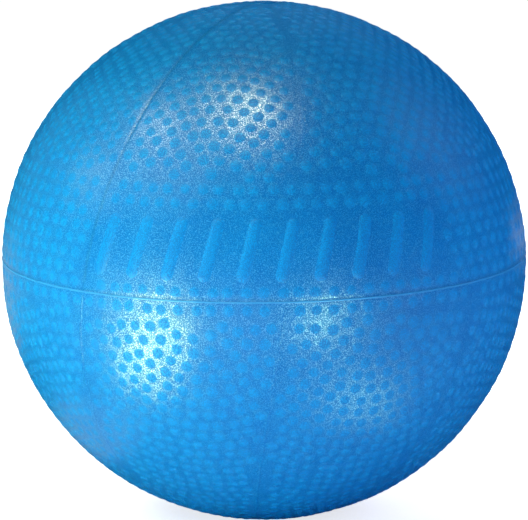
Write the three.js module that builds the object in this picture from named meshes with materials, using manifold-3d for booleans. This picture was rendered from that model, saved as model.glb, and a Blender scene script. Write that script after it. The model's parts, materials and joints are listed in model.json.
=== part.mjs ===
// A small soft exercise ball: one hollow vinyl skin, a seat bonded inside it and a push-in stopper.
// Millimetres, +Z up. The origin is the middle of the flat patch that the ball rests on, the raised
// bars face -Y, and the valve is at the back, towards +Y.

import * as THREE from 'three';
import { mergeVertices } from 'three/addons/utils/BufferGeometryUtils.js';
import Module from 'manifold-3d';

const wasm = await Module();
wasm.setup();

// The ball as it sits, a little flattened by its own weight.
const ballWidth = 250;
const ballHeight = 246.2;
const contactDiameter = 36;
const skinWall = 0.9;

// The mould's parting line, a fine bead just above the widest level.
const partingLineLift = 4;
const partingLineWidth = 1.6;
const partingLineRise = 0.4;

// A row of plain raised bars on the front, above the parting line. Angles are in degrees.
const barCount = 10;
const barWidth = 6.5;
const barLength = 30;
const barRise = 0.8;
const barSpacing = 17;
const barLean = 14;
const barLatitude = 12.5;
const barMiddleAzimuth = 1;

// The stopper: a round head on a stem with rings that grip the seat.
const plugHeadDiameter = 12;
const plugHeadThickness = 1.5;
const plugHeadEdge = 0.5;
const plugStemLength = 15;
const plugStemDiameter = 4.2;
const plugTipTaper = 1.2;
const plugRingCount = 3;
const plugRingRise = 0.6;
const plugRingWidth = 1.6;
const plugRingSpacing = 3.8;
const plugRingStart = 3;

// The seat: a soft flange under the skin with a neck round the stem.
const seatFlangeDiameter = 26;
const seatFlangeThickness = 1.8;
const seatFlangeRim = 0.8;
const seatNeckWall = 2;
const seatNeckLength = 16;
const valveLatitude = 27;
const valveAzimuth = 180;

// Clearances between pieces that touch on the real ball.
const bondGap = 0.6;
const headSeatGap = 0.3;
const stemClearance = 0.3;
const headClearance = 0.4;

// Facets round the ball, from its foot to its top, and round the valve's pieces.
const ballSides = 60;
const ballRings = 28;
const valveSides = 24;
const flangeRings = 3;
const barDepth = 3;
const barEndSteps = 5;

const degrees = THREE.MathUtils.degToRad;

// The outside is a spheroid cut off by the floor, so its height fixes its upright half axis.
const halfWidth = ballWidth / 2;
const footShare = Math.sqrt(1 - (contactDiameter / ballWidth) ** 2);
const halfAxis = ballHeight / (1 + footShare);
const widestLevel = halfAxis * footShare;

// Turns a closed geometry into a solid: corners at one place become one, and triangles that the
// welding closes up, such as those at a pole, are left out.
function solidOf(geometry) {
  geometry.deleteAttribute('normal');
  geometry.deleteAttribute('uv');
  const welded = mergeVertices(geometry);
  const index = welded.index.array;
  const corners = [];
  for (let i = 0; i < index.length; i += 3) {
    const [a, b, c] = [index[i], index[i + 1], index[i + 2]];
    if (a !== b && b !== c && c !== a) corners.push(a, b, c);
  }
  const vertProperties = new Float32Array(welded.attributes.position.array);
  const triVerts = new Uint32Array(corners);
  return new wasm.Manifold(new wasm.Mesh({ numProp: 3, vertProperties, triVerts }));
}

// A named mesh of a solid, with its own finish.
function meshOf(name, solid, finish) {
  const { vertProperties, triVerts } = solid.getMesh();
  const geometry = new THREE.BufferGeometry();
  geometry.setAttribute('position', new THREE.BufferAttribute(vertProperties, 3));
  geometry.setIndex(new THREE.BufferAttribute(triVerts, 1));
  geometry.computeVertexNormals();
  const mesh = new THREE.Mesh(geometry, new THREE.MeshStandardMaterial(finish));
  mesh.name = name;
  return mesh;
}

// A profile of [radius, height] pairs turned about Z.
function turned(profile, sides) {
  const points = profile.map(([radius, height]) => new THREE.Vector2(radius, height));
  return new THREE.LatheGeometry(points, sides).rotateX(Math.PI / 2);
}

// The ball's outline, offset outwards by a distance, from the axis at its foot to the axis at its top.
// The floor cuts it off at the height floorLevel.
function ballOutline(offset, floorLevel, bead) {
  const across = halfWidth + offset;
  const upright = halfAxis + offset;
  const start = Math.asin((floorLevel - widestLevel) / upright);
  const at = (angle, rise) => [
    (across + rise) * Math.cos(angle),
    widestLevel + (upright + rise) * Math.sin(angle),
  ];
  const beadAngle = Math.asin(partingLineLift / upright);
  const beadHalf = partingLineWidth / 2 / across;
  const profile = [[0, floorLevel]];
  let beaded = !bead;
  for (let i = 0; i < ballRings; i += 1) {
    const angle = start + ((Math.PI / 2 - start) * i) / ballRings;
    if (!beaded && angle > beadAngle - 2 * beadHalf) {
      profile.push(at(beadAngle - beadHalf, 0), at(beadAngle - beadHalf / 2, partingLineRise));
      profile.push(at(beadAngle + beadHalf / 2, partingLineRise), at(beadAngle + beadHalf, 0));
      beaded = true;
    }
    if (!bead || Math.abs(angle - beadAngle) > 2 * beadHalf) profile.push(at(angle, 0));
  }
  profile.push([0, widestLevel + upright]);
  return profile;
}

// The place on the outside at an azimuth, counted from -Y towards +X, and a latitude: X runs to the
// right as seen from outside, Y up the ball and Z straight out.
function placeOnBall(azimuth, latitude) {
  const turn = degrees(azimuth);
  const rise = degrees(latitude);
  const radius = halfWidth * Math.cos(rise);
  const right = new THREE.Vector3(Math.cos(turn), Math.sin(turn), 0);
  const forward = new THREE.Vector3(Math.sin(turn), -Math.cos(turn), 0);
  const out = forward.clone().multiplyScalar(Math.cos(rise) / halfWidth);
  out.z = Math.sin(rise) / halfAxis;
  out.normalize();
  const up = new THREE.Vector3().crossVectors(out, right);
  const place = new THREE.Matrix4().makeBasis(right, up, out);
  const point = forward.multiplyScalar(radius);
  point.z = widestLevel + halfAxis * Math.sin(rise);
  return place.setPosition(point);
}

// One raised bar: a slanted strip with round ends that runs from inside the wall to above the ball.
function barGeometry(azimuth) {
  const radius = barWidth / 2;
  const straight = (barLength - barWidth) / 2;
  const outline = new THREE.Shape();
  outline.absarc(0, straight, radius, 0, Math.PI);
  outline.absarc(0, -straight, radius, Math.PI, 2 * Math.PI);
  const depth = 2 * barDepth;
  const geometry = new THREE.ExtrudeGeometry(outline, {
    depth,
    bevelEnabled: false,
    curveSegments: barEndSteps,
  });
  geometry.translate(0, 0, -barDepth).rotateZ(-degrees(barLean));
  return geometry.applyMatrix4(placeOnBall(azimuth, barLatitude));
}

// The row of bars, with tops that follow the ball at their own rise.
function raisedBars() {
  const bandRadius = halfWidth * Math.cos(degrees(barLatitude));
  const step = THREE.MathUtils.radToDeg(barSpacing / bandRadius);
  const above = solidOf(turned(ballOutline(barRise, -barRise, false), ballSides));
  let bars = null;
  for (let i = 0; i < barCount; i += 1) {
    const azimuth = barMiddleAzimuth + (i - (barCount - 1) / 2) * step;
    const bar = solidOf(barGeometry(azimuth)).intersect(above);
    bars = bars ? bars.add(bar) : bar;
  }
  return bars;
}

// The hole that the stopper's head drops into.
function valveHole() {
  const radius = plugHeadDiameter / 2 + headClearance;
  const hole = new THREE.CylinderGeometry(radius, radius, plugHeadDiameter, valveSides);
  hole.rotateX(Math.PI / 2);
  return solidOf(hole.applyMatrix4(placeOnBall(valveAzimuth, valveLatitude)));
}

// The hollow skin with its parting line, bars and valve hole.
function ballSkin() {
  const outside = solidOf(turned(ballOutline(0, 0, true), ballSides));
  const hollow = solidOf(turned(ballOutline(-skinWall, skinWall, false), ballSides));
  return outside.add(raisedBars()).subtract(hollow).subtract(valveHole());
}

// Heights along the valve's axis, counted outwards from the ball's outside.
const seatTop = -skinWall - bondGap;
const headBottom = seatTop + headSeatGap;
const headTop = headBottom + plugHeadThickness;
const boreRadius = plugStemDiameter / 2 + plugRingRise + stemClearance;

// The seat as a ring: its flange follows the inside of the skin, and its neck runs inwards.
function valveSeat() {
  const curve = ballHeight / 2 - skinWall;
  const topAt = (radius) => seatTop - curve + Math.sqrt(curve ** 2 - radius ** 2);
  const neckRadius = boreRadius + seatNeckWall;
  const flangeRadius = seatFlangeDiameter / 2;
  const neckEnd = seatTop - seatNeckLength;
  const profile = [
    [boreRadius, neckEnd],
    [neckRadius, neckEnd],
    [neckRadius, topAt(neckRadius) - seatFlangeThickness],
    [flangeRadius, topAt(flangeRadius) - seatFlangeRim],
  ];
  for (let i = 0; i <= flangeRings; i += 1) {
    const radius = flangeRadius + ((boreRadius - flangeRadius) * i) / flangeRings;
    profile.push([radius, topAt(radius)]);
  }
  profile.push([boreRadius, neckEnd]);
  return solidOf(turned(profile, valveSides));
}

// The stopper, from the tip of its stem to the top of its head.
function valvePlug() {
  const stem = plugStemDiameter / 2;
  const head = plugHeadDiameter / 2;
  const tip = headBottom - plugStemLength;
  const profile = [[0, tip], [stem - plugTipTaper / 2, tip], [stem, tip + plugTipTaper]];
  for (let i = 0; i < plugRingCount; i += 1) {
    const foot = tip + plugRingStart + i * plugRingSpacing;
    profile.push([stem, foot], [stem + plugRingRise, foot + plugRingWidth], [stem, foot + plugRingWidth]);
  }
  profile.push([stem, headBottom], [head, headBottom], [head, headTop - plugHeadEdge]);
  profile.push([head - plugHeadEdge, headTop], [0, headTop]);
  return solidOf(turned(profile, valveSides));
}

const blueVinyl = { color: 0x0b7fd6, roughness: 0.45, metalness: 0 };
const darkVinyl = { color: 0x0a63ab, roughness: 0.55, metalness: 0 };
const whiteVinyl = { color: 0xeef0ee, roughness: 0.4, metalness: 0 };

const valve = new THREE.Group();
valve.applyMatrix4(placeOnBall(valveAzimuth, valveLatitude));
valve.add(meshOf('valve_seat', valveSeat(), darkVinyl));
valve.add(meshOf('valve_plug', valvePlug(), whiteVinyl));

const ball = new THREE.Group();
ball.add(meshOf('ball_skin', ballSkin(), blueVinyl));
ball.add(valve);

export default ball;
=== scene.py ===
"""Looks of a small soft exercise ball: a pebbled vinyl skin, its parting line, raised bars and valve."""

import json
from collections import namedtuple
from math import asin, cos, pi, radians, sin, sqrt

import bpy
import numpy as np
from bpy.props import FloatProperty, FloatVectorProperty, IntProperty, PointerProperty
from bpy.types import Operator, Panel, PropertyGroup
from mathutils import Matrix, Vector


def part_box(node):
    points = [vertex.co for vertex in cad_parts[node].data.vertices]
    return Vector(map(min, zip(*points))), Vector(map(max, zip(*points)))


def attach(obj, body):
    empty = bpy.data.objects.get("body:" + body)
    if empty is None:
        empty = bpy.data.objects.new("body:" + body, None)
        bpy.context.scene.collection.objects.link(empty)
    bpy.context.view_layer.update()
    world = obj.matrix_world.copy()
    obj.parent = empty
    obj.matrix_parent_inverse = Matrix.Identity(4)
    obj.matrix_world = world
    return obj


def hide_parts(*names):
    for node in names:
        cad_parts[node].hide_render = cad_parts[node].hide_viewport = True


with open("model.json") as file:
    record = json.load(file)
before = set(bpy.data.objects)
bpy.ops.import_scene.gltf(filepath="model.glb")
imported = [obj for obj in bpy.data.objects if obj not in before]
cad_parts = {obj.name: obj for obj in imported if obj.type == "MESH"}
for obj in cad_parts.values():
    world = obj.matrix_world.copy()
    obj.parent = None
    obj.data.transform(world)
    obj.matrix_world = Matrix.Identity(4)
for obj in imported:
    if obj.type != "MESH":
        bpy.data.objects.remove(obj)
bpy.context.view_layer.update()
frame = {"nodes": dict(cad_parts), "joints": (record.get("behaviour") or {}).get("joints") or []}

bl_info = {
    "name": "Soft Exercise Ball",
    "version": (1, 0, 0),
    "blender": (4, 5, 0),
    "location": "3D View > Sidebar > Ball",
    "description": "Builds a small pebbled exercise ball with its valve, and a stage for it",
    "category": "Object",
}

SKIN_LOW, SKIN_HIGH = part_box("ball_skin")
CAD_BEAD_RISE = 0.0004
VALVE_AXIS = Vector(frame["joints"][0]["axis"]).normalized()

# Points of a mesh that are closer than this, in metres, are one point.
WELD = 1e-7
BAKE_MAP = "OFBake"
MAP_MARGIN = 0.01

# Two panels make a quarter of the skin, and two from an even line to the next share their rings.
PANELS = 8
PANEL_STEP = 2 * pi / PANELS
SECTORS = PANELS // 2

# Cells up and across a quarter of the skin, along and round a bead, at a bar's end, along and round it.
SKIN_STEPS = (320, 280)
PARTING_STEPS = (720, 16)
PANEL_LINE_STEPS = (160, 12)
BAR_STEPS = (12, 40, 48)

# Cells round the turned pieces.
TOP_PAD_STEPS = 72
VALVE_PAD_STEPS = 96
VALVE_STEPS = 72

# How far the beads reach into the skin, as a share of their rise, and how fast the panel lines taper.
PARTING_FOOT = 0.6
PANEL_LINE_FOOT = 0.8
PANEL_LINE_TAPER = 40

# The deep panel lines of the upper half, the angle over which a groove sets in, and how strongly the ditch
# above the parting line takes painted shade.
DEEP_LINE = -1
DEEP_EVERY = 4
GROOVE_EASE = radians(3)
DITCH_SHADE = 0.7

# Slow waves of the skin: the seed, how many there are, and the shortest and the longest.
WAVE_SEED = 11
WAVE_COUNT = 6
WAVE_LENGTHS = (0.017, 0.045)

# Pebbles: seeds, where rows and rings start, in rows, where rings end, in quarters round, and the domes.
ROW_SEED = 100
RING_SEED = 110
FIRST_ROW = 0.62
RING_START = 0.88
RING_END = 1.4
SIZE_SPREAD = 0.08
RISE_SPREAD = 0.15
DOME_POWER = 1.2

# The skin's look: noise scales, where about a pebble the painted furrow shade gives way and the shine turns
# dull, and what the grain does.
GRAIN_SCALE = 2300.0
PATCH_SCALE = 45.0
PATCH_SHARE = 0.15
FURROW_SHADE_RANGE = (0.06, 0.58)
DULL_RANGE = (0.36, 0.72)
TONE_RANGE = (0.48, 0.72)
# The grain's colour is partly random tone and partly painted: darker specks for shade in its pits, paler
# ones for glints.
GRAIN_TONE_AND_GLINT = 0.26
GRAIN_AND_GLINT_GAIN = 1.7
GLINT_RANGE = (0.52, 0.74)
LAND_SHINE = (0.11, 0.85)
TOP_SHINE = 0.07
LAND_ROUGHNESS = 0.30
TOP_ROUGHNESS = 0.45
GRAIN_BUMP = 0.00009
TOP_BUMP = 0.15
# Painted shade: how dark a groove or the ditch beside the parting line is made in colour.
GROOVE_SHADE = 0.82
SKIN_IOR = 2.3

# Plain vinyl: how far its colour and roughness wander, and the scale and range of the noise behind that.
DRIFT = 0.05
DRIFT_SCALE = 70.0
DRIFT_RANGE = (0.32, 0.68)
DRIFT_ROUGHNESS = 0.6
GRAIN_RANGE = (0.3, 0.7)

# The floor's level, how far from the ball its white fades in, and how strong that white is there.
FLOOR_LEVEL = -0.0003
FLOOR_REACH = (0.1, 0.9)
FLOOR_WHITE = (0.70, 0.95)

# How high the glows lie over the floor.
GLOW_LEVEL = 0.004

Shape = namedtuple("Shape", "across upright mean level seam")
Lamp = namedtuple("Lamp", "name azimuth elevation distance width height power colour lights")
Glow = namedtuple("Glow", "name azimuth reach width length power colour")
Lattice = namedtuple("Lattice", "middle ring count tight stray number_at place_at")

LAMPS = (
    Lamp("overhead", -16, 73.7, 0.95, 0.13, 0.15, 3.5, (0.84, 1.0, 0.68), "gloss"),
    Lamp("high_left", -74.5, 55, 0.95, 0.09, 0.09, 1.2, (0.92, 1.0, 0.70), "gloss"),
    Lamp("far_left", -89, 29, 0.94, 0.05, 0.05, 0.40, (0.95, 1.0, 0.70), "gloss"),
    Lamp("left_room", -115, 12, 1.2, 1.6, 1.4, 0.6, (1.0, 1.0, 0.9), "gloss"),
    Lamp("right_strip", 138.5, -4.5, 0.49, 0.015, 0.05, 0.012, (1.0, 1.0, 1.0), "gloss"),
    Lamp("left_high", -60, 46, 1.3, 0.9, 0.9, 13.0, (1.0, 1.0, 0.71), "matte"),
    Lamp("left_low", -54, -8, 0.6, 0.15, 0.08, 2.2, (1.0, 1.0, 0.64), "matte"),
    Lamp("low_front", -10, -12, 0.45, 0.15, 0.05, 0.36, (0.90, 0.90, 1.0), "matte"),
    Lamp("right_low", 56, -6, 0.7, 0.2, 0.08, 1.15, (0.90, 0.90, 1.0), "matte"),
    Lamp("right_fill", 104, 34, 1.3, 0.9, 0.9, 5.4, (0.90, 0.90, 1.0), "matte"),
    Lamp("back_fill", 178, 30, 1.4, 1.0, 1.0, 9.0, (1.0, 1.0, 1.0), "matte"),
)

GLOWS = (
    Glow("low_left_glow", -41.9, 0.745, 0.18, 1.10, 7.2, (0.74, 1.0, 0.25)),
    Glow("low_right_glow", 21.5, 0.475, 0.032, 0.11, 1.6, (0.45, 1.0, 0.60)),
    Glow("near_right_glow", 34.5, 0.183, 0.11, 0.10, 0.068, (0.45, 1.0, 0.60)),
    Glow("left_glow", -80, 0.13, 0.16, 0.07, 0.010, (1.0, 1.0, 0.85)),
    Glow("back_left_glow", -141, 0.75, 0.30, 0.90, 0.35, (1.0, 1.0, 0.85)),
)


def length(name, text, default):
    """A size in metres for the sidebar."""
    return FloatProperty(name=name, description=text, default=default, unit="LENGTH", precision=5)


def ratio(name, text, default):
    """A plain number for the sidebar."""
    return FloatProperty(name=name, description=text, default=default)


def whole(name, text, default):
    """A count for the sidebar."""
    return IntProperty(name=name, description=text, default=default, min=1)


def angle(name, text, default):
    """An angle for the sidebar, given in degrees and kept in radians."""
    return FloatProperty(name=name, description=text, default=radians(default), subtype="ANGLE")


def colour(name, text, default):
    """A linear colour for the sidebar."""
    return FloatVectorProperty(
        name=name, description=text, default=default, subtype="COLOR", size=3, min=0.0, max=1.0
    )


class BallSizes(PropertyGroup):
    """Sizes of the skin's main form, its parting line and its panels."""

    width: length("Width", "Across the ball at its widest", SKIN_HIGH.x - SKIN_LOW.x - 2 * CAD_BEAD_RISE)
    height: length("Height", "From the floor to the top", SKIN_HIGH.z - SKIN_LOW.z)
    foot: length("Foot", "Across the flat patch that the ball rests on", 0.036)
    seam_lift: length("Seam lift", "Parting line above the widest level", 0.004)
    seam_width: length("Seam width", "Across the parting line", 0.0009)
    seam_rise: length("Seam rise", "Height of the parting line over the skin", 0.00022)
    seam_ditch: length("Seam ditch", "Depth of the fine ditch above the parting line", 0.00008)
    panel_turn: angle("Panel turn", "Azimuth of the front panel line at the parting line", 4.2)
    panel_lean: ratio("Panel lean", "Turn of a line per angle of rise", 0.14)
    line_width: length("Line width", "Across a panel line of the lower half", 0.0012)
    line_rise: length("Line rise", "Height of a lower panel line over the skin", 0.00008)
    groove_width: length("Groove width", "Half the width of a panel line of the upper half", 0.0009)
    groove_depth: length("Groove depth", "Depth of an upper panel line in the skin", 0.00017)
    groove_shallow: ratio("Shallow", "Share of that depth on three lines in four", 0.2)
    pole_pad: length("Pole pad", "Radius of the plain round pad at the top", 0.0065)
    wave_rise: length("Waviness", "Height of the slow waves in the soft skin", 0.00005)


class PebbleSizes(PropertyGroup):
    """Sizes of the pebbles on the skin and of the plain band that they leave for the bars."""

    radius: length("Radius", "Radius of a pebble", 0.0030)
    # The paler disc takes the tops' colour; outside it the land colour holds the painted shade of the
    # furrows.
    halo: length("Halo", "Radius of the paler skin about a pebble's middle", 0.0040)
    rise: length("Rise", "Height of a pebble over the skin", 0.00024)
    pitch: length("Pitch", "Between pebbles in a straight row", 0.0078)
    row: length("Row", "Between straight rows of pebbles", 0.0066)
    row_size: ratio("Row size", "Share of the radius in a straight row", 0.9)
    ring_pitch: length("Ring pitch", "Between pebbles in a ring near its middle", 0.0081)
    ring_row: length("Ring row", "Between rings of pebbles near their middle", 0.0070)
    tighten: ratio("Tighten", "How much closer they stand a quarter round", 0.4)
    ring_shift: ratio("Ring shift", "Panels from a line to the rings' middle", 0.42)
    stray: length("Stray", "How far a pebble strays along its row", 0.0009)
    sway: length("Sway", "How far a pebble strays out of its row", 0.00025)
    edge: length("Edge", "From a panel line to the nearest pebble's middle", 0.0027)
    straight: whole("Straight", "Straight rows above the plain band", 2)
    straight_low: whole("Straight low", "Straight rows under the parting line", 1)
    band_low: angle("Band low", "Lower edge of the plain band", 5.0)
    band_high: angle("Band high", "Upper edge of the plain band", 20.5)
    band_left: angle("Band left", "Left end of the plain band", -40.0)
    band_right: angle("Band right", "Right end of the plain band", 42.0)


class BarSizes(PropertyGroup):
    """Sizes of the row of raised bars on the front."""

    count: whole("Count", "Bars in the row", 10)
    width: length("Width", "Across a bar", 0.0065)
    length: length("Length", "Along a bar", 0.030)
    rise: length("Rise", "Height of a bar over the skin", 0.0005)
    spacing: length("Spacing", "Between bars", 0.017)
    lean: angle("Lean", "How far the bars lean to the right", 14.0)
    latitude: angle("Latitude", "Angle of the row above the ball's middle", 12.5)
    azimuth: angle("Azimuth", "Middle of the row, from the front towards the right", 1.0)
    depth: length("Depth", "How far a bar's underside lies in the skin", 0.0003)


class ValveSizes(PropertyGroup):
    """Sizes of the valve's pad, seat and stopper."""

    pad_radius: length("Pad radius", "Radius of the smooth pad round the valve", 0.0155)
    pad_rise: length("Pad rise", "Height of the pad over the skin", 0.0004)
    hole_radius: length("Hole radius", "Radius of the hole for the stopper's head", 0.0064)
    wall: length("Wall", "Thickness of the skin", 0.0009)
    seat_gap: length("Seat gap", "Between the skin and the seat", 0.0006)
    flange_radius: length("Flange radius", "Radius of the seat's flange", 0.013)
    flange_depth: length("Flange depth", "Thickness of the flange at the neck", 0.0018)
    flange_rim: length("Flange rim", "Thickness of the flange at its rim", 0.0008)
    neck_radius: length("Neck radius", "Outside radius of the seat's neck", 0.005)
    neck_length: length("Neck length", "Length of the neck below the flange", 0.016)
    bore_radius: length("Bore radius", "Radius of the neck's bore", 0.003)
    head_radius: length("Head radius", "Radius of the stopper's head", 0.006)
    head_depth: length("Head depth", "Thickness of the stopper's head", 0.0015)
    stem_radius: length("Stem radius", "Radius of the stopper's stem", 0.0021)
    ring_rise: length("Ring rise", "Height of the stem's rings", 0.0006)
    ring_step: length("Ring step", "Between the stem's rings", 0.0038)


class BallColours(PropertyGroup):
    """Linear colours of the pieces and the floor."""

    # Painted shade: the land colour is the tops' blue made darker and less green, standing for the shade in
    # the furrows between the pebbles.
    shaded_land: colour("Land", "Skin between the pebbles", (0.001, 0.192, 0.638))
    dome: colour("Dome", "Tops of the pebbles", (0.001, 0.218, 0.677))
    bar: colour("Bar", "Raised bars", (0.001, 0.214, 0.680))
    # Painted sheen: the parting line's colour is paler and whiter than the skin, standing for a reflection
    # along the bead.
    seam: colour("Seam", "Parting line", (0.020, 0.285, 0.750))
    seat: colour("Seat", "Valve seat", (0.006, 0.120, 0.400))
    stopper: colour("Stopper", "Stopper", (0.80, 0.82, 0.81))
    floor: colour("Floor", "Floor", (0.90, 0.90, 0.90))
    world: colour("World", "Light from all round", (0.06, 0.06, 0.06))


class StageView(PropertyGroup):
    """Where the camera stands."""

    distance: length("Distance", "From the camera to the ball's middle", 1.5)
    elevation: angle("Elevation", "Camera above the ball's middle", 10.5)
    roll: angle("Roll", "Turn of the camera about its view", -0.6)
    lens: FloatProperty(name="Lens", description="Focal length in millimetres", default=213.5)
    floor: length("Floor", "Half the side of the floor", 4.0)


def ball_shape():
    """Half axes and their mean, the widest level and the parting line's latitude, from the sidebar.

    The floor cuts a spheroid of half axes a and c at a foot of width f, so the height is
    c (1 + sqrt(1 - (f / width)^2)), which gives c and the level of the middle.
    """
    sizes = bpy.context.scene.ball_sizes
    cut = sqrt(1 - (sizes.foot / sizes.width) ** 2)
    across = sizes.width / 2
    upright = sizes.height / (1 + cut)
    seam = asin(sizes.seam_lift / upright)
    return Shape(across, upright, (across + upright) / 2, upright * cut, seam)


def direction(latitude, azimuth):
    """The unit direction cos t sin p, -cos t cos p, sin t of a latitude t and an azimuth p, which is
    counted from -Y towards +X."""
    ring = np.cos(latitude)
    parts = (ring * np.sin(azimuth), -ring * np.cos(azimuth), np.sin(latitude))
    return np.stack(np.broadcast_arrays(*parts), -1)


def on_ball(shape, latitude, azimuth, rise=0.0):
    """Points over the spheroid: the direction of a latitude and an azimuth times the half axes, over the
    level of the middle, then moved out along the normal by the rise, and never below the floor."""
    half_axes = np.array([shape.across, shape.across, shape.upright])
    heading = direction(latitude, azimuth)
    normal = heading / half_axes
    normal /= np.linalg.norm(normal, axis=-1, keepdims=True)
    place = half_axes * heading + [0.0, 0.0, shape.level] + np.asarray(rise)[..., None] * normal
    place[..., 2] = np.maximum(place[..., 2], 0.0)
    return place


def wrapped(turn):
    """Angles brought to within half a turn of nothing."""
    return (turn + pi) % (2 * pi) - pi


def panel_line(shape, number, latitude):
    """Azimuth of a panel line at a latitude: lines stand evenly round the ball and lean as they rise."""
    sizes = bpy.context.scene.ball_sizes
    return sizes.panel_turn + number * PANEL_STEP + sizes.panel_lean * (latitude - shape.seam)


def beside_band(azimuth):
    """Where azimuths lie between the two ends of the plain band."""
    sizes = bpy.context.scene.pebble_sizes
    turn = wrapped(azimuth)
    return (turn > sizes.band_left) & (turn < sizes.band_right)


def line_foot(shape, number):
    """Latitude where an upper panel line starts: the plain band's top, or else the parting line."""
    behind_bars = beside_band(panel_line(shape, number, shape.seam))
    return np.where(behind_bars, bpy.context.scene.pebble_sizes.band_high, shape.seam)


def valve_place(shape):
    """The spheroid's point whose normal is the valve's axis o: (a^2 o_x, a^2 o_y, c^2 o_z) / length."""
    squares = np.array([shape.across**2, shape.across**2, shape.upright**2])
    out = np.array(VALVE_AXIS)
    point = squares * out / sqrt((squares * out * out).sum())
    return point + np.array([0.0, 0.0, shape.level])


def skin_waves(shape, place):
    """Slow waves of the soft skin: a sum of plane sine waves of drawn lengths and headings over the place.
    They die away near the valve as 1 - exp(-(d / reach)^2) at a distance d from it."""
    draw = np.random.default_rng(WAVE_SEED)
    heading = draw.normal(size=(WAVE_COUNT, 3))
    heading /= np.linalg.norm(heading, axis=1, keepdims=True)
    wave = draw.uniform(*WAVE_LENGTHS, size=WAVE_COUNT)
    start = draw.uniform(0, 2 * pi, size=WAVE_COUNT)
    total = np.sin(place @ (heading.T * (2 * pi / wave)) + start).sum(axis=-1)
    apart = np.linalg.norm(place - valve_place(shape), axis=-1)
    reach = 2 * bpy.context.scene.valve_sizes.pad_radius
    return total * (1 - np.exp(-((apart / reach) ** 2)))


def on_skin(shape, latitude, azimuth, rise=0.0):
    """Points over the soft skin: those over the spheroid, moved out by the skin's waves as well."""
    waves = skin_waves(shape, on_ball(shape, latitude, azimuth))
    return on_ball(shape, latitude, azimuth, rise + bpy.context.scene.ball_sizes.wave_rise * waves)


def line_gap(shape, latitude, azimuth, first, every):
    """Distance from places to the nearest panel line of a set: a first line and every so many after it."""
    apart = every * PANEL_STEP
    past = azimuth - panel_line(shape, first, latitude) + apart / 2
    return np.abs(past % apart - apart / 2) * shape.across * np.cos(latitude)


def straight_rows(shape, side):
    """Rows beside the parting line and the plain band, each at one latitude, as a lattice of pebbles."""
    sizes = bpy.context.scene.pebble_sizes
    rows = sizes.straight_low
    if side > 0:
        rows = sizes.straight + int(shape.mean * (sizes.band_high - shape.seam) / sizes.row)
    middle = (np.arange(rows) + FIRST_ROW) * sizes.row
    ring = shape.across * np.cos(shape.seam + side * middle / shape.mean)
    count = np.rint(2 * pi * ring / sizes.pitch).astype(int)
    tight = np.full(rows, sizes.row_size)
    stray = np.random.default_rng(ROW_SEED + side).uniform(-1, 1, size=(rows, count.max(), 4))

    def number_at(latitude, azimuth):
        return np.broadcast_arrays(side * (latitude - shape.seam) * shape.mean / sizes.row, azimuth)

    def place_at(along, around):
        return shape.seam + side * along / shape.mean, around

    return Lattice(middle, ring, count, tight, stray, number_at, place_at)


def ring_rows(shape, side, sector):
    """Rings of pebbles about a point of a sector of two panels, as a lattice that tightens outwards.

    The pitch at an arc length s from the point is 1 - k s / q of its full size, with q a quarter of
    the way round, so ring n lies at s = q / k (1 - exp(-k n row / q)). The point lies at the foot of the
    panel beside the sector's front or back line.
    """
    sizes = bpy.context.scene.pebble_sizes
    quarter = shape.mean * pi / 2
    rate = sizes.tighten / quarter
    foot = sizes.band_high if side > 0 else shape.seam
    line = PANELS // 2 * (sector // 2) + (2 * (sector % 2) - 1) * sizes.ring_shift
    turn = panel_line(shape, line, foot)
    out, up, right = (
        direction(latitude, azimuth)
        for latitude, azimuth in ((foot, turn), (foot + pi / 2, turn), (0.0, turn + pi / 2))
    )
    number = np.arange(int(-np.log(1 - RING_END * sizes.tighten) / rate / sizes.ring_row))
    middle = (1 - np.exp(-rate * sizes.ring_row * (number + 0.5))) / rate
    tight = 1 - rate * middle
    ring = shape.mean * np.sin(middle / shape.mean)
    count = np.maximum(np.rint(2 * pi * ring / (sizes.ring_pitch * tight)), 1).astype(int)
    draw = np.random.default_rng(RING_SEED + 2 * sector + side)
    stray = draw.uniform(-1, 1, size=(number.size, count.max(), 4))

    def number_at(latitude, azimuth):
        heading = direction(latitude, azimuth)
        along = shape.mean * np.arccos(np.clip(heading @ out, -1, 1))
        around = np.arctan2(heading @ right, heading @ up)
        return -np.log(1 - rate * np.minimum(along, RING_END * quarter)) / rate / sizes.ring_row, around

    def place_at(along, around):
        angle_out = (along / shape.mean)[..., None]
        sideways = np.cos(around)[..., None] * up + np.sin(around)[..., None] * right
        heading = np.cos(angle_out) * out + np.sin(angle_out) * sideways
        return np.arcsin(np.clip(heading[..., 2], -1, 1)), np.arctan2(heading[..., 0], -heading[..., 1])

    return Lattice(middle, ring, count, tight, stray, number_at, place_at)


def free_places(shape, side, latitude, azimuth):
    """Where a pebble may stand: clear of the panel lines, the plain band, the top pad and the valve pad."""
    sizes = bpy.context.scene.pebble_sizes
    first, every = (DEEP_LINE, DEEP_EVERY) if side > 0 else (0, 1)
    free = line_gap(shape, latitude, azimuth, first, every) > sizes.edge
    free &= shape.across * np.cos(latitude) > bpy.context.scene.ball_sizes.pole_pad + sizes.radius
    if side > 0:
        banded = (latitude > sizes.band_low) & (latitude < sizes.band_high) & beside_band(azimuth)
        away = np.linalg.norm(on_ball(shape, latitude, azimuth) - valve_place(shape), axis=-1)
        free &= ~banded & (away > bpy.context.scene.valve_sizes.pad_radius + sizes.radius)
    return free


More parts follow.
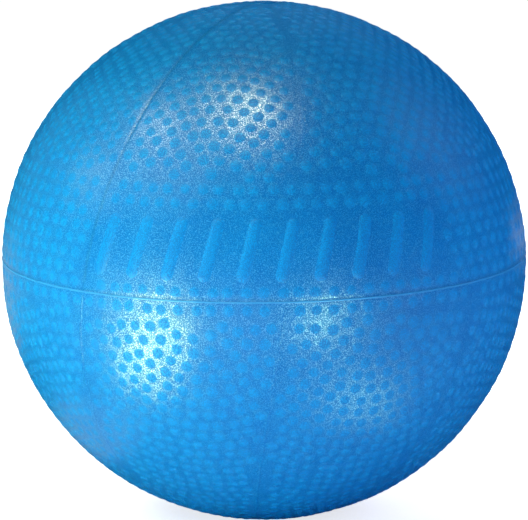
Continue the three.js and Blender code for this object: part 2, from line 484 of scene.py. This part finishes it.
def pebble_domes(shape, side, panel, latitude, azimuth):
    """Share of a full pebble, and nearness to the nearest one's middle, at points of one panel.

    Straight rows lie beside the parting line and the plain band, and the rings of the panel's sector
    take over beyond them and end at its edges. Each pebble strays by a seeded draw. A dome is
    (1 - d^2 / r^2)^1.2 at a distance d from its own middle, and nearness is 1 - d^2 / h^2 with the halo
    h. Each point looks at the nine nearest of both kinds.
    """
    sizes = bpy.context.scene.pebble_sizes
    sector = (panel + 2) // 2 % SECTORS
    rows = straight_rows(shape, side)
    rings_from = rows.middle[-1] + RING_START * sizes.row
    place = on_ball(shape, latitude, azimuth)
    share = np.zeros(azimuth.shape)
    near = np.zeros(azimuth.shape)
    for lattice in (rows, ring_rows(shape, side, sector)):
        number, around = lattice.number_at(latitude, azimuth)
        base = np.floor(number).astype(int)
        for step_up, step_over in np.ndindex(3, 3):
            row = np.clip(base + step_up - 1, 0, lattice.middle.size - 1)
            step = 2 * pi / lattice.count[row]
            column = np.rint(around / step - row % 2 / 2).astype(int) + step_over - 1
            own = lattice.stray[row, column % lattice.count[row]]
            along = lattice.middle[row] + own[..., 0] * sizes.sway
            own_around = (column + row % 2 / 2) * step + own[..., 1] * sizes.stray / lattice.ring[row]
            own_latitude, own_azimuth = lattice.place_at(along, own_around)
            reach = sizes.radius * lattice.tight[row] * (1 + SIZE_SPREAD * own[..., 2])
            free = free_places(shape, side, own_latitude, own_azimuth)
            if lattice is not rows:
                free &= side * (own_latitude - shape.seam) * shape.mean > rings_from
                past = np.abs(wrapped(own_azimuth - panel_line(shape, 2 * sector - 1, own_latitude)))
                free &= (PANEL_STEP - past) * shape.across * np.cos(own_latitude) > reach
            apart = ((place - on_ball(shape, own_latitude, own_azimuth)) ** 2).sum(axis=-1) / reach**2
            dome = np.maximum(1 - apart, 0) ** DOME_POWER * (1 + RISE_SPREAD * own[..., 3])
            share = np.maximum(share, np.where(free, dome, 0))
            near = np.maximum(near, np.where(free, 1 - apart * (sizes.radius / sizes.halo) ** 2, 0))
    return share, near


def map_of(count, rows, columns):
    """Texture places of a stack of grids: each grid has a strip of the square, with a margin round it."""
    across = np.linspace(MAP_MARGIN, 1 - MAP_MARGIN, columns)
    strip = np.linspace(2 * MAP_MARGIN, 1 - 2 * MAP_MARGIN, rows)
    along = (np.arange(count)[:, None] + strip) / count
    both = np.broadcast_arrays(across[None, None, :], along[:, :, None])
    return np.stack(both, -1).reshape(-1, 2)


def surface(name, grids, keep=None, near=None):
    """One mesh of a stack of grids of points, shaped (grids, rows, columns, 3).

    Each cell becomes a face. Points at one place are welded, which closes seams and poles, and a cell
    with one side of no length becomes a triangle. The faces are turned to look away from the middle.
    """
    count, rows, columns = grids.shape[:3]
    index = np.arange(count * rows * columns).reshape(count, rows, columns)
    corners = (index[:, :-1, :-1], index[:, :-1, 1:], index[:, 1:, 1:], index[:, 1:, :-1])
    quads = np.stack(corners, -1).reshape(-1, 4)
    if keep is not None:
        quads = quads[keep.reshape(-1)]
    spots = map_of(count, rows, columns)[quads]
    points = grids.reshape(-1, 3)
    _, first, welded = np.unique(
        np.rint(points / WELD).astype(np.int64), axis=0, return_index=True, return_inverse=True
    )
    quads = first[welded.reshape(-1)[quads]]
    used, quads = np.unique(quads, return_inverse=True)
    quads = quads.reshape(-1, 4)
    points = points[used]
    a, b, c, d = (points[quads[:, i]] - [0, 0, ball_shape().level] for i in range(4))
    if (np.cross(c - a, d - b) * (a + b + c + d)).sum() < 0:
        quads = quads[:, ::-1]
        spots = spots[:, ::-1]
    same = quads == np.roll(quads, -1, axis=1)
    whole = ~same.any(axis=1)
    wedge = same.sum(axis=1) == 1
    kept = ~same[wedge]
    faces = quads[whole].tolist() + quads[wedge][kept].reshape(-1, 3).tolist()
    mesh = bpy.data.meshes.new(name)
    mesh.from_pydata(points.tolist(), [], faces)
    mesh.shade_smooth()
    places = np.concatenate([spots[whole].reshape(-1, 2), spots[wedge][kept]])
    mesh.uv_layers.new(name=BAKE_MAP).data.foreach_set("uv", places.astype(np.float32).ravel())
    if near is not None:
        values = near.reshape(-1)[used].astype(np.float32)
        mesh.attributes.new("near", "FLOAT", "POINT").data.foreach_set("value", values)
    piece = bpy.data.objects.new(name, mesh)
    bpy.context.scene.collection.objects.link(piece)
    return piece


def turned(shape, profile, steps):
    """A profile of (radius, height) pairs turned about the valve's axis, as a stack of one grid."""
    out = np.array(VALVE_AXIS)
    side = np.cross([0.0, 0.0, 1.0], out)
    side /= np.linalg.norm(side)
    up = np.cross(out, side)
    turn = np.linspace(0, 2 * pi, steps + 1)
    round_axis = np.cos(turn)[:, None] * side + np.sin(turn)[:, None] * up
    profile = np.asarray(profile)
    grid = profile[:, None, :1] * round_axis + profile[:, None, 1:] * out
    return (valve_place(shape) + grid)[None]


def rounded(corners, radius, steps=5):
    """A closed or open profile with its inner corners rounded: each is a quadratic curve between points
    set back from it along its two sides by the radius, or by less on a short side."""
    corners = np.asarray(corners, dtype=float)
    before, at, after = corners[:-2], corners[1:-1], corners[2:]
    share = np.linspace(0, 1, steps)[None, :, None]
    most = 0.45
    reach_in = np.linalg.norm(before - at, axis=1, keepdims=True)
    reach_out = np.linalg.norm(after - at, axis=1, keepdims=True)
    start = at + (before - at) * np.minimum(radius / reach_in, most)
    end = at + (after - at) * np.minimum(radius / reach_out, most)
    bend = (
        (1 - share) ** 2 * start[:, None]
        + 2 * share * (1 - share) * at[:, None]
        + share**2 * end[:, None]
    )
    return np.concatenate([corners[:1], bend.reshape(-1, 2), corners[-1:]])


def settle(piece, material, body="ball", node="ball_skin"):
    """Gives a piece its material and its body, and hides the CAD node that it stands for."""
    piece.data.materials.append(material)
    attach(piece, body)
    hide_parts(node)


def new_material(name):
    """An empty node material with a Principled shader; returns the material, its tree and the shader."""
    material = bpy.data.materials.new(name)
    material.use_nodes = True
    tree = material.node_tree
    return material, tree, tree.nodes["Principled BSDF"]


def feed(tree, node, inputs):
    """Gives a node its inputs, by name or number, each a value or another node's output."""
    for key, value in inputs.items():
        socket = node.inputs[key]
        if isinstance(value, bpy.types.NodeSocket):
            tree.links.new(value, socket)
        else:
            socket.default_value = value


def add_node(tree, kind, settings=None, **inputs):
    """Adds a node with its settings and its named inputs."""
    made = tree.nodes.new(kind)
    for key, value in (settings or {}).items():
        setattr(made, key, value)
    feed(tree, made, {key.replace("_", " "): value for key, value in inputs.items()})
    return made


def noise(tree, place, scale, detail, roughness=0.5):
    """A soft noise over the piece, as a value."""
    made = add_node(
        tree, "ShaderNodeTexNoise", Vector=place, Scale=scale, Detail=detail, Roughness=roughness
    )
    return made.outputs["Fac"]


def worked(tree, operation, *values):
    """The result of one step of arithmetic on values, each a number or another node's output."""
    made = add_node(tree, "ShaderNodeMath", {"operation": operation})
    feed(tree, made, dict(enumerate(values)))
    return made.outputs["Value"]


def mapped(tree, value, start, end, low, high, kind="LINEAR"):
    """A value that runs from low to high as another runs from start to end."""
    made = add_node(
        tree, "ShaderNodeMapRange", {"interpolation_type": kind},
        Value=value, From_Min=start, From_Max=end, To_Min=low, To_Max=high,
    )
    return made.outputs["Result"]


def tone_ramp(tree, value, start, end, low, high):
    """A colour that runs from one to another as a value runs from start to end."""
    ramp = add_node(tree, "ShaderNodeValToRGB", Fac=value)
    for stop, position, tone in zip(ramp.color_ramp.elements, (start, end), (low, high)):
        stop.position = position
        stop.color = (*tone, 1.0)
    return ramp.outputs["Color"]


def toned(colour_value, share):
    """A colour whose green grows by a share of itself, and its blue by half of that."""
    red, green, blue = colour_value
    return (red, green * (1 + share), blue * (1 + share / 2))


def skin_vinyl(name, top_colour):
    """Blue vinyl: sparkling grain on the land, and smoother, duller tops where the piece rises.

    The piece's own nearness to a pebble's middle blends the land, darkened by painted shade in the
    furrows, and the top, and below 0 it paints shade into a groove or the ditch by the parting line.
    One grain drives the tone, whose darker and paler specks are partly painted pit shade and painted
    glints, and the shine and the bump of the land.
    """
    material, tree, shader = new_material(name)
    place = add_node(tree, "ShaderNodeTexCoord").outputs["Object"]
    near = add_node(tree, "ShaderNodeAttribute", {"attribute_name": "near"}).outputs["Fac"]
    # Painted shade: away from a pebble's middle the colour falls to the darker land, as though shaded in
    # the furrows.
    furrow_shade_fade = mapped(tree, near, *FURROW_SHADE_RANGE, 0.0, 1.0, "SMOOTHSTEP")
    dull = mapped(tree, near, *DULL_RANGE, 0.0, 1.0, "SMOOTHSTEP")
    grain = noise(tree, place, GRAIN_SCALE, detail=0.0)
    patch = noise(tree, place, PATCH_SCALE, detail=3.0)
    tone = worked(tree, "MULTIPLY_ADD", patch, PATCH_SHARE, grain)
    # The grain's darker specks stand partly for shade in its pits, and its paler, greener ones partly for
    # glints: painted shade and painted glints besides random tone.
    shaded_land, top = (
        tone_ramp(tree, tone, *TONE_RANGE, toned(base, -GRAIN_TONE_AND_GLINT), toned(base, GRAIN_AND_GLINT_GAIN * GRAIN_TONE_AND_GLINT))
        for base in (bpy.context.scene.ball_colours.shaded_land, top_colour)
    )
    blend = add_node(tree, "ShaderNodeMix", {"data_type": "RGBA"})
    feed(tree, blend, {0: furrow_shade_fade, 6: shaded_land, 7: top})
    shade = add_node(tree, "ShaderNodeVectorMath", {"operation": "SCALE"})
    # Painted shade: a nearness below 0 darkens the grooves and the ditch.
    feed(tree, shade, {0: blend.outputs[2], "Scale": mapped(tree, near, -1.0, 0.0, GROOVE_SHADE, 1.0)})
    glint = mapped(tree, grain, *GLINT_RANGE, *LAND_SHINE)
    height = worked(tree, "MULTIPLY", grain, mapped(tree, dull, 0.0, 1.0, 1.0, TOP_BUMP))
    bump = add_node(tree, "ShaderNodeBump", Strength=1.0, Distance=GRAIN_BUMP, Height=height)
    feed(tree, shader, {
        "Base Color": shade.outputs["Vector"],
        "Specular IOR Level": mapped(tree, dull, 0.0, 1.0, glint, TOP_SHINE),
        "Roughness": mapped(tree, dull, 0.0, 1.0, LAND_ROUGHNESS, TOP_ROUGHNESS),
        "Normal": bump.outputs["Normal"],
        "IOR": SKIN_IOR,
    })
    return material


def plain_vinyl(name, base, roughness, grain_scale, grain_depth, shine=0.25):
    """Moulded vinyl of one colour that drifts a little, with a fine shallow grain."""
    material, tree, shader = new_material(name)
    place = add_node(tree, "ShaderNodeTexCoord").outputs["Object"]
    drift = noise(tree, place, DRIFT_SCALE, detail=3.0, roughness=DRIFT_ROUGHNESS)
    low, high = (tuple(channel * share for channel in base) for share in (1 - DRIFT, 1 + DRIFT))
    grain = noise(tree, place, grain_scale, detail=2.0, roughness=DRIFT_ROUGHNESS)
    bump = add_node(tree, "ShaderNodeBump", Strength=1.0, Distance=grain_depth, Height=grain)
    feed(tree, shader, {
        "Base Color": tone_ramp(tree, drift, *DRIFT_RANGE, low, high),
        "Roughness": mapped(tree, grain, *GRAIN_RANGE, roughness - DRIFT, roughness + DRIFT),
        "Normal": bump.outputs["Normal"],
        "Specular IOR Level": shine,
    })
    return material


class BALL_OT_skin(Operator):
    """Builds the pebbled skin as eight pieces, four above the parting line and four below."""

    bl_idname = "ball.skin"
    bl_label = "Pebbled skin"

    def execute(self, context):
        shape = ball_shape()
        material = skin_vinyl("blue_skin_vinyl", context.scene.ball_colours.dome)
        sides = {"upper": 1, "lower": -1}
        quarters = ("front", "right", "back", "left")
        for half, side in sides.items():
            for number, quarter in enumerate(quarters):
                self.quarter(context, shape, material, f"skin_{half}_{quarter}", side, number)
        return {"FINISHED"}

    def quarter(self, context, shape, material, name, side, number):
        """Two panels of one half: latitude runs from the parting line to the pole, azimuth from one
        panel line to the next but one, and the rise is the slow waves plus the pebbles. In the upper half
        a panel line is a groove, exp(-(d / w)^2) of its depth at a distance d, and three in four are
        shallow. A ditch of the same form runs beside the parting line."""
        sizes = context.scene.ball_sizes
        valve = context.scene.valve_sizes
        rows, columns = SKIN_STEPS
        latitude = np.linspace(shape.seam, side * pi / 2, rows + 1)[:, None]
        share = np.linspace(0, 2, columns + 1)[None, :]
        first = 2 * number - 1
        azimuth = panel_line(shape, first, latitude) + share * PANEL_STEP
        half = columns // 2
        domes = [
            pebble_domes(shape, side, first + i, latitude, part)
            for i, part in enumerate((azimuth[:, :half], azimuth[:, half:]))
        ]
        share_up, near = (np.concatenate(pair, axis=1) for pair in zip(*domes))
        rise = context.scene.pebble_sizes.rise * share_up
        if side > 0:
            past = (latitude - shape.seam) * shape.across
            ditch = np.exp(-(((past - sizes.seam_width) / sizes.seam_width) ** 2))
            rise = rise - sizes.seam_ditch * ditch
            # Painted shade: the ditch, and the grooves below, push the nearness under 0, which darkens
            # their colour.
            near = near - DITCH_SHADE * ditch
            line = np.rint(share)
            gap = np.abs(share - line) * PANEL_STEP * shape.across * np.cos(latitude)
            run = np.clip((latitude - line_foot(shape, first + line)) / GROOVE_EASE, 0, 1)
            full = np.where((first + line - DEEP_LINE) % DEEP_EVERY == 0, 1.0, sizes.groove_shallow)
            dip = full * run * np.exp(-((gap / sizes.groove_width) ** 2))
            rise = rise - sizes.groove_depth * dip
            near = near - dip
        place = on_skin(shape, latitude, azimuth, rise)
        middle = (place[:-1, :-1] + place[1:, 1:]) / 2
        inside = (valve.hole_radius + valve.pad_radius) / 2
        keep = np.linalg.norm(middle - valve_place(shape), axis=-1) > inside
        piece = surface(name, place[None], keep[None], near)
        settle(piece, material)


class BALL_OT_parting_line(Operator):
    """Builds the fine bead that the mould's two halves leave round the ball."""

    bl_idname = "ball.parting_line"
    bl_label = "Parting line"

    def execute(self, context):
        """An oval section carried round the ball: half its width is cos s, its rise sin s above the
        skin, and a part of that below it."""
        shape = ball_shape()
        sizes = context.scene.ball_sizes
        long_steps, round_steps = PARTING_STEPS
        turn = np.linspace(0, 2 * pi, long_steps + 1)[:, None]
        section = np.linspace(0, 2 * pi, round_steps + 1)[None, :]
        latitude = shape.seam + sizes.seam_width / 2 * np.cos(section) / shape.across
        lift = np.sin(section)
        rise = sizes.seam_rise * np.where(lift > 0, lift, PARTING_FOOT * lift)
        grid = on_skin(shape, latitude, turn, rise)
        piece = surface("parting_line", grid[None])
        # The bead's paler colour is a painted sheen.
        material = plain_vinyl(
            "parting_line_vinyl", context.scene.ball_colours.seam,
            roughness=0.38, grain_scale=900.0, grain_depth=0.00003, shine=0.7,
        )
        settle(piece, material)
        return {"FINISHED"}


class BALL_OT_panel_lines(Operator):
    """Builds the fine ridges between the lower panels and the plain pad where the upper ones meet."""

    bl_idname = "ball.panel_lines"
    bl_label = "Panel lines"

    def execute(self, context):
        """An oval section carried down each panel line, drawn in to a point at both ends."""
        shape = ball_shape()
        sizes = context.scene.ball_sizes
        long_steps, round_steps = PANEL_LINE_STEPS
        steps = np.linspace(0, 1, long_steps + 1)
        section = np.linspace(0, 2 * pi, round_steps + 1)
        number = np.arange(PANELS)
        foot = -np.arccos(sizes.foot / sizes.width)
        along = np.broadcast_to(shape.seam + (foot - shape.seam) * steps, (number.size, steps.size))
        size = np.minimum(1, PANEL_LINE_TAPER * np.minimum(steps, 1 - steps))
        lift = np.sin(section)
        oval = np.where(lift > 0, lift, PANEL_LINE_FOOT * lift)
        latitude = along[:, :, None]
        width = sizes.line_width / 2 * size[None, :, None] * np.cos(section)
        azimuth = panel_line(shape, number[:, None, None], latitude)
        azimuth = azimuth + width / shape.across / np.cos(latitude)
        grid = on_skin(shape, latitude, azimuth, sizes.line_rise * size[None, :, None] * oval)
        piece = surface("panel_lines", grid)
        # These pieces carry no nearness, so they take the land colour with its painted furrow shade.
        material = bpy.data.materials["blue_skin_vinyl"]
        settle(piece, material)
        self.top_pad(shape, sizes, material)
        return {"FINISHED"}

    def top_pad(self, shape, sizes, material):
        """A low round pad with a raised rim at the pole: a profile of radius and rise turned about the
        upright axis."""
        outer = sizes.pole_pad
        edge, inner, foot = outer + 0.0008, outer - 0.0010, outer - 0.0014
        flat, rim, under = 0.00025, 0.0003, -0.0003
        corners = [(0, flat), (foot, flat), (inner, rim), (outer, rim), (edge, under), (0, under)]
        profile = rounded(corners, radius=0.0004)
        turn = np.linspace(0, 2 * pi, TOP_PAD_STEPS + 1)[None, :]
        latitude = np.arccos(profile[:, :1] / shape.across)
        grid = on_skin(shape, latitude, turn, profile[:, 1:])
        piece = surface("top_pad", grid[None])
        settle(piece, material)


class BALL_OT_front_bars(Operator):
    """Builds the row of plain raised bars on the front."""

    bl_idname = "ball.front_bars"
    bl_label = "Front bars"

    def execute(self, context):
        """A bar is a strip with round ends and a soft crown: at a share q of its half width from its
        spine it rises (1 - q^3)^2 of its height, and its underside lies in the skin."""
        shape = ball_shape()
        sizes = context.scene.bar_sizes
        end_steps, long_steps, round_steps = BAR_STEPS
        half = sizes.width / 2
        straight = sizes.length / 2 - half
        quarter = np.linspace(0, pi / 2, end_steps + 1)
        spine = np.concatenate([
            -straight - half * np.cos(quarter),
            np.linspace(-straight, straight, long_steps + 1)[1:-1],
            straight + half * np.sin(quarter),
        ])
        past = np.maximum(np.abs(spine) - straight, 0)
        reach = np.sqrt(np.maximum(half**2 - past**2, 0))
        section = np.linspace(0, 2 * pi, round_steps + 1)
        over = reach[:, None] * np.cos(section)
        share = np.minimum(np.sqrt(over**2 + past[:, None] ** 2) / half, 1)
        crown = (1 - share**3) ** 2
        rise = np.where(np.sin(section) >= 0, sizes.rise * crown, -sizes.depth * (1 - share**2))
        number = np.arange(sizes.count) - (sizes.count - 1) / 2
        ring = shape.across * cos(sizes.latitude)
        turned_over = over * cos(sizes.lean) + spine[:, None] * sin(sizes.lean)
        turned_up = spine[:, None] * cos(sizes.lean) - over * sin(sizes.lean)
        azimuth = sizes.azimuth + (number[:, None, None] * sizes.spacing + turned_over) / ring
        latitude = sizes.latitude + turned_up / shape.mean
        grid = on_skin(shape, np.broadcast_to(latitude, azimuth.shape), azimuth, rise)
        # Towards the rim the nearness falls, so a bar's edge takes the land colour with its painted shade.
        piece = surface("front_bars", grid, near=np.broadcast_to(1 - share**6, azimuth.shape))
        material = skin_vinyl("blue_bar_vinyl", context.scene.ball_colours.bar)
        settle(piece, material)
        return {"FINISHED"}


def skin_drop(shape, radius):
    """How far the ball's outside lies under the valve point's plane at a radius from its axis."""
    return shape.mean - np.sqrt(shape.mean**2 - np.asarray(radius) ** 2)


class BALL_OT_valve(Operator):
    """Builds the smooth pad round the valve, the seat under the skin and the stopper."""

    bl_idname = "ball.valve"
    bl_label = "Valve"

    def execute(self, context):
        shape = ball_shape()
        sizes = context.scene.valve_sizes
        colours = context.scene.ball_colours
        for build in (self.pad, self.seat, self.stopper):
            build(shape, sizes, colours)
        return {"FINISHED"}

    def pad(self, shape, sizes, colours):
        """A ring with a raised rim, turned about the valve's axis, that follows the ball under it."""
        edge, hole, rise = sizes.pad_radius, sizes.hole_radius, sizes.pad_rise
        foot, inner, outer, under = edge - 0.0040, edge - 0.0034, edge - 0.0018, -0.0003
        corners = [
            (hole, -sizes.wall), (hole, rise), (foot, rise), (inner, 2 * rise), (outer, 2 * rise),
            (edge, under), (edge, -sizes.wall), (hole, -sizes.wall),
        ]
        profile = rounded(corners, radius=0.0005)
        profile[:, 1] -= skin_drop(shape, profile[:, 0])
        piece = surface("valve_pad", turned(shape, profile, VALVE_PAD_STEPS))
        material = plain_vinyl(
            "valve_pad_vinyl", colours.dome, roughness=0.45, grain_scale=700.0, grain_depth=0.00004
        )
        settle(piece, material)

    def seat(self, shape, sizes, colours):
        """A flange that follows the inside of the skin and a neck with a bore, turned about the axis."""
        bore, neck, flange = sizes.bore_radius, sizes.neck_radius, sizes.flange_radius
        top = -sizes.wall - sizes.seat_gap
        end = top - sizes.neck_length
        corners = np.array([
            (bore, end), (neck, end), (neck, top - sizes.flange_depth), (flange, top - sizes.flange_rim),
            (flange, top), (neck, top), (bore, top), (bore, end),
        ])
        profile = rounded(corners, radius=0.0004)
        margin = 0.0005
        flat = profile[:, 1] > top - sizes.flange_depth - margin
        profile[:, 1] -= np.where(flat, skin_drop(shape, profile[:, 0]), 0)
        piece = surface("valve_seat_ring", turned(shape, profile, VALVE_STEPS))
        material = plain_vinyl(
            "seat_vinyl", colours.seat, roughness=0.5, grain_scale=700.0, grain_depth=0.00004
        )
        settle(piece, material, "ball", "valve_seat")

    def stopper(self, shape, sizes, colours):
        """A head with a rim and a dimple on a stem with three grip rings, turned about the axis. The
        tip and the head's top come from the CAD stopper's reach along the axis."""
        node = frame["nodes"]["valve_plug"].data.vertices
        places = np.empty(3 * len(node))
        node.foreach_get("co", places)
        reach = (places.reshape(-1, 3) - valve_place(shape)) @ np.array(VALVE_AXIS)
        tip, top = reach.min(), reach.max()
        stem, head = sizes.stem_radius, sizes.head_radius
        under = top - sizes.head_depth
        ring = stem + sizes.ring_rise
        ring_start, ring_slope, ring_flat, ring_foot = 0.003, 0.0013, 0.0016, 0.0018
        taper, taper_in = 0.0012, 0.0006
        corners = [(0, tip), (stem - taper_in, tip), (stem, tip + taper)]
        for number in range(3):
            foot = tip + ring_start + number * sizes.ring_step
            corners += [(stem, foot), (ring, foot + ring_slope)]
            corners += [(ring, foot + ring_flat), (stem, foot + ring_foot)]
        dish, dimple = top - 0.0003, top - 0.0006
        rim, rim_foot = head - 0.0012, head - 0.0016
        dimple_edge, dimple_foot = 0.0012, 0.0008
        corners += [(stem, under), (head, under), (head, top), (rim, top), (rim_foot, dish)]
        corners += [(dimple_edge, dish), (dimple_foot, dimple), (0, dimple)]
        piece = surface("valve_stopper", turned(shape, rounded(corners, radius=0.0003), VALVE_STEPS))
        material = plain_vinyl(
            "stopper_vinyl", colours.stopper, roughness=0.4, grain_scale=600.0, grain_depth=0.00003
        )
        settle(piece, material, "plug", "valve_plug")


class BALL_OT_stage(Operator):
    """Sets up the floor, the lamps, the world and the camera."""

    bl_idname = "ball.stage"
    bl_label = "Stage"

    def execute(self, context):
        shape = ball_shape()
        middle = Vector((0, 0, shape.level))
        self.floor(context)
        self.world(context)
        for lamp in LAMPS:
            self.lamp(context, middle, lamp)
        for glow in GLOWS:
            self.glow(context, glow)
        self.camera(context, middle)
        context.scene.view_settings.view_transform = "Standard"
        return {"FINISHED"}

    def floor(self, context):
        """A flat square just under the ball, white to the camera, that keeps the ball's shadow."""
        half = context.scene.stage_view.floor
        ends = ((-half, -half), (half, -half), (half, half), (-half, half))
        mesh = bpy.data.meshes.new("floor")
        mesh.from_pydata([(x, y, FLOOR_LEVEL) for x, y in ends], [], [(0, 1, 2, 3)])
        floor = bpy.data.objects.new("floor", mesh)
        context.scene.collection.objects.link(floor)
        material, tree, shader = new_material("pale_floor")
        path = add_node(tree, "ShaderNodeLightPath")
        seen = path.outputs["Is Camera Ray"]
        for other in ("Is Glossy Ray", "Is Transmission Ray"):
            seen = worked(tree, "MAXIMUM", seen, path.outputs[other])
        away = add_node(tree, "ShaderNodeVectorMath", {"operation": "LENGTH"})
        feed(tree, away, {0: add_node(tree, "ShaderNodeTexCoord").outputs["Object"]})
        share = mapped(tree, away.outputs["Value"], *FLOOR_REACH, *FLOOR_WHITE, "SMOOTHSTEP")
        feed(tree, shader, {
            "Base Color": (*context.scene.ball_colours.floor, 1.0),
            "Roughness": 0.9,
            "Specular IOR Level": 0.0,
            "Emission Color": (1.0, 1.0, 1.0, 1.0),
            "Emission Strength": worked(tree, "MULTIPLY", seen, share),
        })
        mesh.materials.append(material)
        floor.visible_glossy = False

    def world(self, context):
        """Even light from all round, for the matte part alone."""
        world = bpy.data.worlds.new("even_light")
        world.use_nodes = True
        background = world.node_tree.nodes["Background"]
        background.inputs["Color"].default_value = (*context.scene.ball_colours.world, 1.0)
        context.scene.world = world
        world.cycles_visibility.glossy = False

    def lamp(self, context, middle, lamp):
        """An area lamp at an azimuth, elevation and distance from the ball's middle, turned to face it."""
        turn, rise = radians(lamp.azimuth), radians(lamp.elevation)
        away = Vector((sin(turn) * cos(rise), -cos(turn) * cos(rise), sin(rise)))
        place = Matrix.Translation(middle + lamp.distance * away)
        turned_to_ball = away.to_track_quat("Z", "Y").to_matrix().to_4x4()
        made = self.oval(context, lamp, lamp.width, lamp.height, place @ turned_to_ball)
        made.visible_diffuse = lamp.lights != "gloss"
        made.visible_glossy = lamp.lights != "matte"

    def glow(self, context, glow):
        """A bright patch of floor, for the gloss alone: an oval that lies on it, along an azimuth."""
        turn = radians(glow.azimuth)
        spot = Vector((glow.reach * sin(turn), -glow.reach * cos(turn), GLOW_LEVEL))
        face_up = Matrix.Rotation(turn, 4, "Z") @ Matrix.Rotation(pi, 4, "X")
        made = self.oval(context, glow, glow.width, glow.length, Matrix.Translation(spot) @ face_up)
        made.visible_diffuse = False

    def oval(self, context, lamp, across, along, place):
        """An oval area lamp that the camera doesn't see."""
        light = bpy.data.lights.new(lamp.name, "AREA")
        light.shape = "ELLIPSE"
        light.size = across
        light.size_y = along
        light.energy = lamp.power
        light.color = lamp.colour
        made = bpy.data.objects.new(lamp.name, light)
        made.matrix_world = place
        made.visible_camera = False
        context.scene.collection.objects.link(made)
        return made

    def camera(self, context, middle):
        """A long lens aimed at the ball's middle from the front and a little above."""
        view = context.scene.stage_view
        rise = view.elevation
        away = Vector((0, -cos(rise), sin(rise)))
        data = bpy.data.cameras.new("camera")
        data.lens = view.lens
        camera = bpy.data.objects.new("camera", data)
        look = away.to_track_quat("Z", "Y").to_matrix().to_4x4()
        camera.matrix_world = (
            Matrix.Translation(middle + view.distance * away) @ look @ Matrix.Rotation(view.roll, 4, "Z")
        )
        context.scene.collection.objects.link(camera)
        context.scene.camera = camera


OPERATORS = (
    BALL_OT_skin,
    BALL_OT_parting_line,
    BALL_OT_panel_lines,
    BALL_OT_front_bars,
    BALL_OT_valve,
    BALL_OT_stage,
)

GROUPS = {
    "ball_sizes": BallSizes,
    "pebble_sizes": PebbleSizes,
    "bar_sizes": BarSizes,
    "valve_sizes": ValveSizes,
    "ball_colours": BallColours,
    "stage_view": StageView,
}


class BALL_PT_sidebar(Panel):
    """Lists the operators and the sizes and colours that they use."""

    bl_idname = "BALL_PT_sidebar"
    bl_label = "Exercise ball"
    bl_space_type = "VIEW_3D"
    bl_region_type = "UI"
    bl_category = "Ball"

    def draw(self, context):
        for operator in OPERATORS:
            self.layout.operator(operator.bl_idname)
        for name, group in GROUPS.items():
            box = self.layout.box()
            box.label(text=group.__doc__)
            for key in group.__annotations__:
                box.prop(getattr(context.scene, name), key)


def register():
    """Registers the groups, the operators and the panel."""
    for name, group in GROUPS.items():
        bpy.utils.register_class(group)
        setattr(bpy.types.Scene, name, PointerProperty(type=group))
    for made in (*OPERATORS, BALL_PT_sidebar):
        bpy.utils.register_class(made)


def unregister():
    """Takes the panel, the operators and the groups out again."""
    for made in reversed((*OPERATORS, BALL_PT_sidebar)):
        bpy.utils.unregister_class(made)
    for name, group in GROUPS.items():
        delattr(bpy.types.Scene, name)
        bpy.utils.unregister_class(group)


def main():
    """Builds every piece and the stage."""
    register()
    bpy.ops.ball.skin()
    bpy.ops.ball.parting_line()
    bpy.ops.ball.panel_lines()
    bpy.ops.ball.front_bars()
    bpy.ops.ball.valve()
    bpy.ops.ball.stage()


if __name__ == "__main__":
    main()
